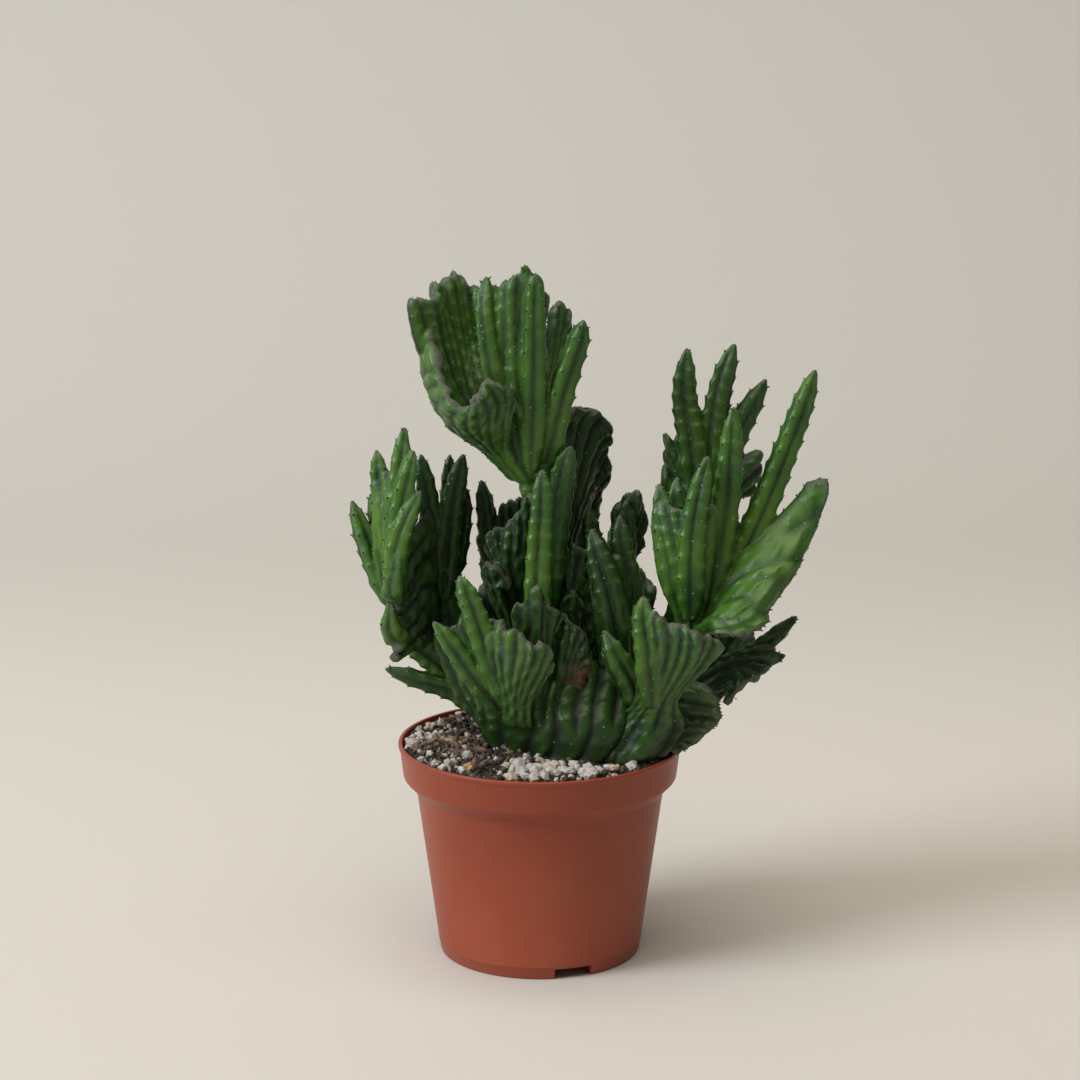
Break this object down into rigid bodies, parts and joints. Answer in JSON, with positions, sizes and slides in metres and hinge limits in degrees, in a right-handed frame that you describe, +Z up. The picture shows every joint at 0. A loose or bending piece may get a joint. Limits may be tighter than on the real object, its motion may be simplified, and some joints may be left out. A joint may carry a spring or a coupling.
{
  "type": "potted stapelia",
  "caption": "Crested stapelia with ribbed fan-shaped stems and upright fingers, growing in peat and perlite in a round terracotta-coloured plastic nursery pot.",
  "frame": {"origin": "middle of the pot's underside, on the surface that the pot stands on", "axes": "+Z up; -Y towards the viewer of the plant's front; +X to the viewer's right"},
  "size_m": [0.2022, 0.1239, 0.296],
  "materials": {
    "pot_plastic": "satin moulded polypropylene, terracotta colour, lightly scuffed",
    "potting_mix": "loose dark peat with white perlite, matt",
    "stem_skin": "satin green succulent skin with a faint bluish bloom and brown-grey crest lines",
    "perlite_grain": "matt porous white",
    "gravel_grain": "matt tan",
    "bark_grain": "matt fibrous brown"
  },
  "bodies": {
    "root": {"pot": "pot_plastic", "soil": "potting_mix", "crown": "stem_skin", "crest_front": "stem_skin", "crest_front_right": "stem_skin", "crest_low_right": "stem_skin", "crest_right": "stem_skin", "crest_top": "stem_skin", "crest_left": "stem_skin", "stem_centre": "stem_skin", "crest_lower_left": "stem_skin", "crest_curl": "stem_skin", "crest_front_back": "stem_skin", "stem_low_front": "stem_skin", "crest_inner_right": "stem_skin", "crest_mid": "stem_skin", "stem_upper": "stem_skin", "crest_back_right": "stem_skin", "crest_left_back": "stem_skin", "crest_right_back": "stem_skin", "crest_mid_back": "stem_skin", "crest_inner_back": "stem_skin", "crest_rear_left": "stem_skin", "crest_rear_centre": "stem_skin", "crest_rear_right": "stem_skin", "stem_rear": "stem_skin", "perlite_01": "perlite_grain", "perlite_02": "perlite_grain", "perlite_03": "perlite_grain", "perlite_04": "perlite_grain", "perlite_05": "perlite_grain", "perlite_06": "perlite_grain", "perlite_07": "perlite_grain", "perlite_08": "perlite_grain", "perlite_09": "perlite_grain", "gravel": "gravel_grain", "bark_chip": "bark_grain"}
  },
  "joints": []
}
